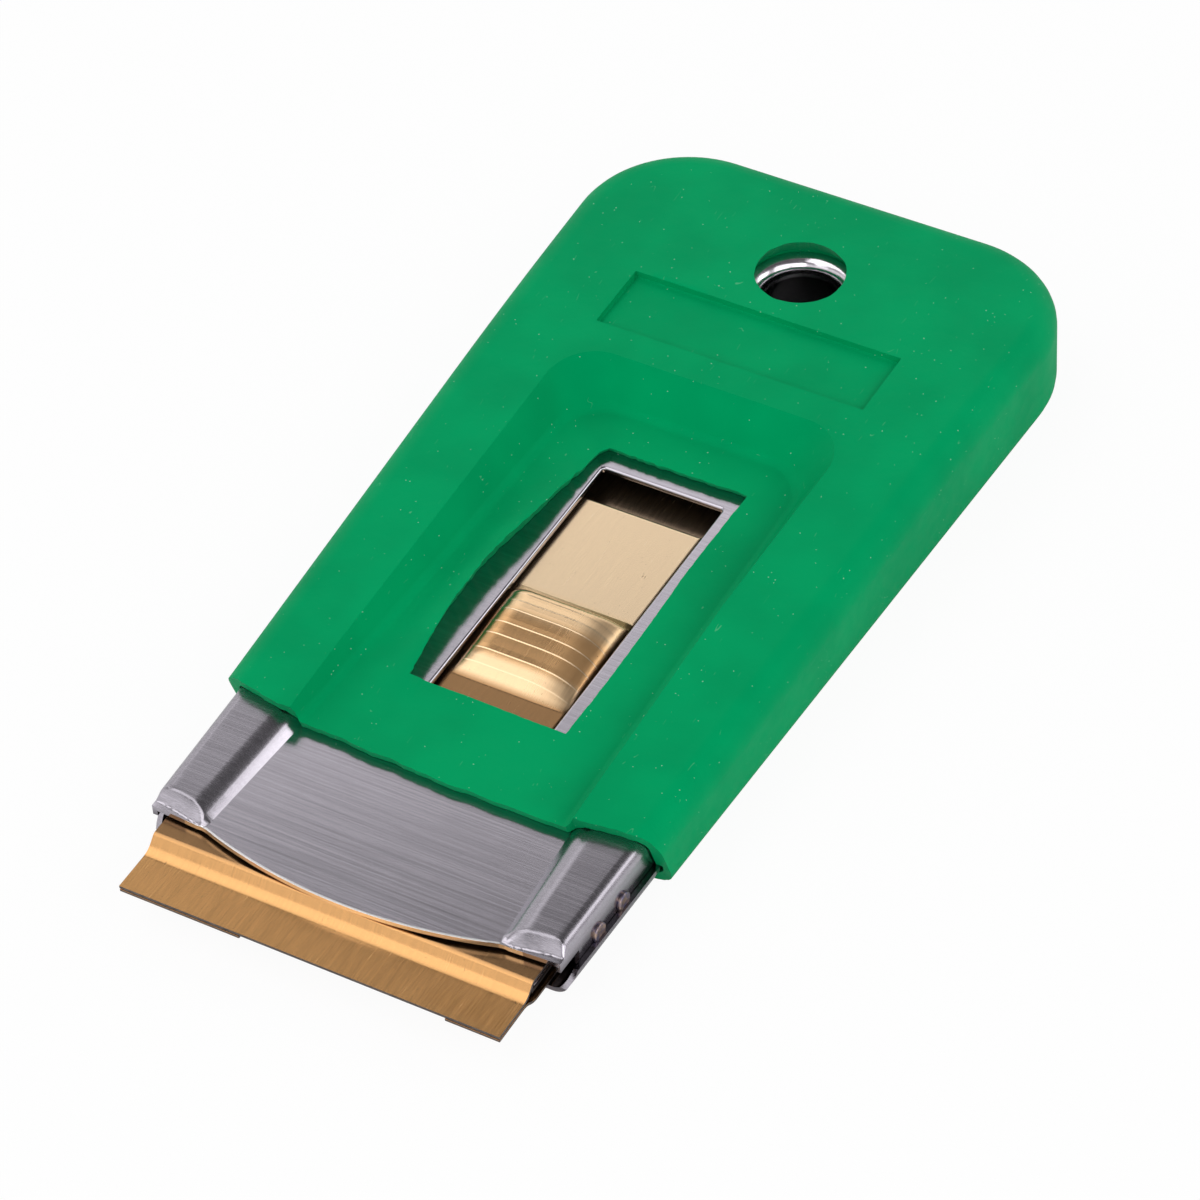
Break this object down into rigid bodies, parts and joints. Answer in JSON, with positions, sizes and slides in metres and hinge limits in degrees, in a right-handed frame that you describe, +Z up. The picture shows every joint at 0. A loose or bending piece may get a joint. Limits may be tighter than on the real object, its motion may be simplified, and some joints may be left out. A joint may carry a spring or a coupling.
{
  "type": "safety scraper",
  "caption": "Pocket scraper with a flat steel housing in a soft green grip, a sliding gold blade clamp worked by a thumb dome, and a hanging hole.",
  "frame": {"origin": "middle of the bounding box in plan, on the flat underside of the grip", "axes": "+Y from the blade clamp's lips to the hanging hole, +Z up through the side with the thumb slide, +X across the tool"},
  "size_m": [0.0516, 0.1052, 0.0109],
  "materials": {
    "green_vinyl": "satin soft vinyl",
    "brushed_steel": "brushed across the tool",
    "weld_tint": "heat tinted",
    "gold_steel": "gold passivated",
    "blade_steel": "ground",
    "blued_steel": "blued"
  },
  "bodies": {
    "housing": {"grip_sleeve": "green_vinyl", "upper_shell": "brushed_steel", "lower_shell": "brushed_steel", "hang_eyelet": "brushed_steel", "spot_weld_right_1": "weld_tint", "spot_weld_right_2": "weld_tint", "spot_weld_left_1": "weld_tint", "spot_weld_left_2": "weld_tint"},
    "clamp": {"clamp_leaf_bottom": "gold_steel", "clamp_leaf_top": "gold_steel", "blade": "blade_steel", "blade_spine": "blued_steel"}
  },
  "joints": [
    {"name": "clamp_slide", "type": "slide", "parent": "housing", "child": "clamp", "axis": [0, 1, 0], "range_m": [-0.0046, 0.0169]}
  ]
}
